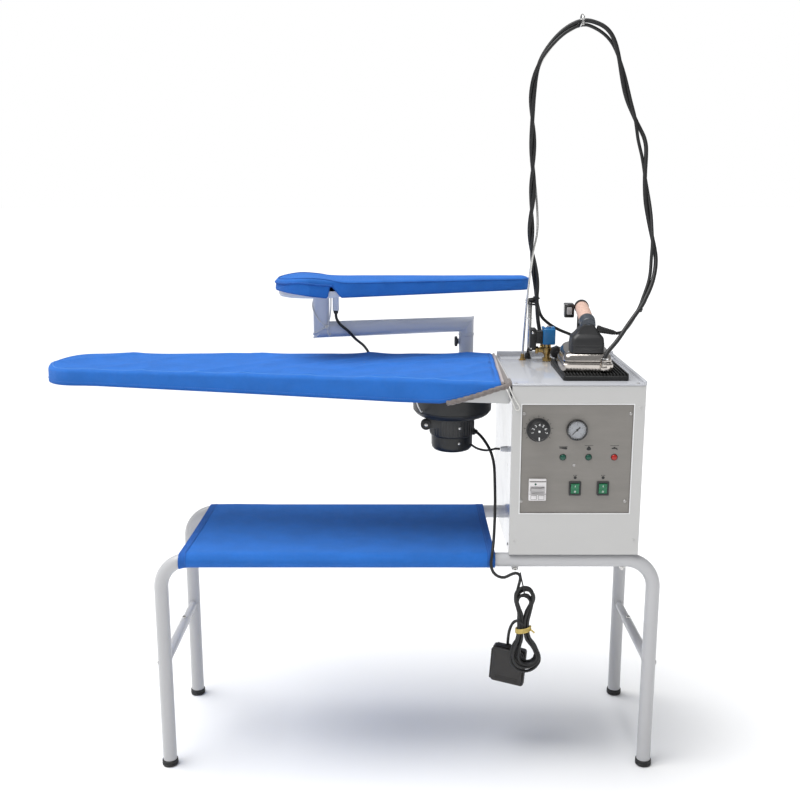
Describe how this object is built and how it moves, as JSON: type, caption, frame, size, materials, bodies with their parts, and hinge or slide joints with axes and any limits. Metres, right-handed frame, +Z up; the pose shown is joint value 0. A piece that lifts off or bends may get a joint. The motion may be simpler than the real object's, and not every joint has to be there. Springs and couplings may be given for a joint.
{
  "type": "steam ironing station",
  "caption": "Vacuum ironing table on a tube stand with a boiler cabinet, steam iron on its rest, swinging sleeve board, hose mast, blue cloth covers and hand-held pedal on a tied cord.",
  "frame": {"origin": "the middle of the whole station's footprint, without its loose cords, on the floor", "axes": "+Z up, +Y from the user at the front to the back, +X to the right, towards the cabinet; metres"},
  "size_m": [1.3375, 0.4434, 1.6138],
  "materials": {
    "frame_paint": "light grey powder coat, satin",
    "cabinet_paint": "white gloss paint",
    "front_paint": "pale grey satin paint",
    "panel_paint": "brownish grey matt panel",
    "blue_cloth": "woven blue cotton cloth",
    "black_plastic": "moulded black plastic",
    "fan_black": "black painted steel",
    "rubber": "black rubber",
    "steel": "brushed stainless steel",
    "brass": "machined brass",
    "cork": "cork",
    "coil_blue": "blue moulded coil",
    "green_lens": "translucent green plastic",
    "red_lens": "translucent red plastic",
    "white_plastic": "white moulded plastic",
    "tray_paint": "white satin paint"
  },
  "bodies": {
    "root": {"front_frame": "frame_paint", "rear_frame": "frame_paint", "arm_post": "frame_paint", "cabinet_shell": "cabinet_paint", "cabinet_top": "cabinet_paint", "cabinet_back": "cabinet_paint", "cabinet_front": "front_paint", "control_panel": "panel_paint", "board_cover": "blue_cloth", "shelf_cloth": "blue_cloth", "gauge_case": "black_plastic", "switch_bezel_left": "black_plastic", "switch_bezel_right": "black_plastic", "valve_plug": "black_plastic", "pedal_base": "black_plastic", "iron_gland": "black_plastic", "fan_housing": "fan_black", "fan_motor": "fan_black", "foot_front_left": "rubber", "foot_front_right": "rubber", "foot_rear_left": "rubber", "foot_rear_right": "rubber", "steam_hose": "rubber", "iron_cable": "rubber", "pedal_cable": "rubber", "cord_hank": "rubber", "sleeve_cable": "rubber", "fan_cable": "rubber", "iron_rest": "rubber", "boiler_tank": "steel", "mast_rod": "steel", "hose_post": "steel", "valve_body": "brass", "heating_element": "brass", "valve_coil": "coil_blue", "green_lamp_left": "green_lens", "green_lamp_right": "green_lens", "red_lamp": "red_lens", "breaker_body": "white_plastic", "board_pan": "tray_paint"},
    "iron": {"soleplate": "steel", "iron_cover": "steel", "handle_housing": "black_plastic", "grip": "cork", "handle_nose": "black_plastic", "switch_box": "black_plastic", "cable_sleeve": "rubber"},
    "arm": {"swing_arm": "frame_paint", "sleeve_tray": "tray_paint", "sleeve_cover": "blue_cloth"},
    "steam_button": {"steam_button": "red_lens"},
    "clamp_knob": {"clamp_knob": "black_plastic"},
    "thermostat_dial": {"thermostat_dial": "black_plastic"},
    "gauge_needle": {"gauge_needle": "black_plastic"},
    "rocker_left": {"rocker_left": "green_lens"},
    "rocker_right": {"rocker_right": "green_lens"},
    "breaker_toggle": {"breaker_toggle": "white_plastic"},
    "steam_knob": {"steam_knob": "black_plastic"},
    "impeller": {"impeller": "steel"},
    "pedal_plate": {"pedal_plate": "black_plastic"}
  },
  "joints": [
    {"name": "arm_swing", "type": "hinge", "parent": "root", "child": "arm", "pos_m": [0.271, 0.20415, 0.902], "axis": [0, 0, 1], "range_deg": [0, 70], "deforming": ["sleeve_cable"]},
    {"name": "arm_clamp_turn", "type": "hinge", "parent": "root", "child": "clamp_knob", "pos_m": [0.2482, 0.20415, 0.887], "axis": [-1, 0, 0], "range_deg": [0, 360]},
    {"name": "thermostat_turn", "type": "hinge", "parent": "root", "child": "thermostat_dial", "pos_m": [0.395, -0.20565, 0.768], "axis": [0, 1, 0], "range_deg": [0, 270]},
    {"name": "gauge_needle_turn", "type": "hinge", "parent": "root", "child": "gauge_needle", "pos_m": [0.474, -0.20865, 0.768], "axis": [0, 1, 0], "range_deg": [0, 270], "stiffness_Nm_per_rad": 0.0005, "springref_deg": -2.86},
    {"name": "left_switch_rock", "type": "hinge", "parent": "root", "child": "rocker_left", "pos_m": [0.474, -0.20665, 0.643], "axis": [1, 0, 0], "range_deg": [-16, 0]},
    {"name": "right_switch_rock", "type": "hinge", "parent": "root", "child": "rocker_right", "pos_m": [0.532, -0.20665, 0.643], "axis": [1, 0, 0], "range_deg": [-16, 0]},
    {"name": "breaker_flip", "type": "hinge", "parent": "root", "child": "breaker_toggle", "pos_m": [0.396, -0.20925, 0.641], "axis": [1, 0, 0], "range_deg": [-30, 0]},
    {"name": "steam_knob_turn", "type": "hinge", "parent": "root", "child": "steam_knob", "pos_m": [0.464, 0.04135, 0.889], "axis": [0, -1, 0], "range_deg": [0, 270]},
    {"name": "impeller_spin", "type": "hinge", "parent": "root", "child": "impeller", "pos_m": [0.226, -0.04085, 0.7912], "axis": [0, 0, 1], "continuous": true},
    {"name": "iron_lift", "type": "slide", "parent": "root", "child": "iron", "axis": [0, 0, 1], "range_m": [0, 0.12], "deforming": ["steam_hose", "iron_cable"]},
    {"name": "steam_button_press", "type": "slide", "parent": "iron", "child": "steam_button", "axis": [0.0698, 0.9976, 0], "range_m": [0, 0.003], "stiffness_N_per_m": 300, "springref_m": -0.001},
    {"name": "pedal_press", "type": "hinge", "parent": "root", "child": "pedal_plate", "pos_m": [0.34597, -0.16325, 0.18559], "axis": [-0.9374, 0.3412, 0.0698], "range_deg": [0, 2.2], "stiffness_Nm_per_rad": 1.5, "springref_deg": -1.72}
  ]
}
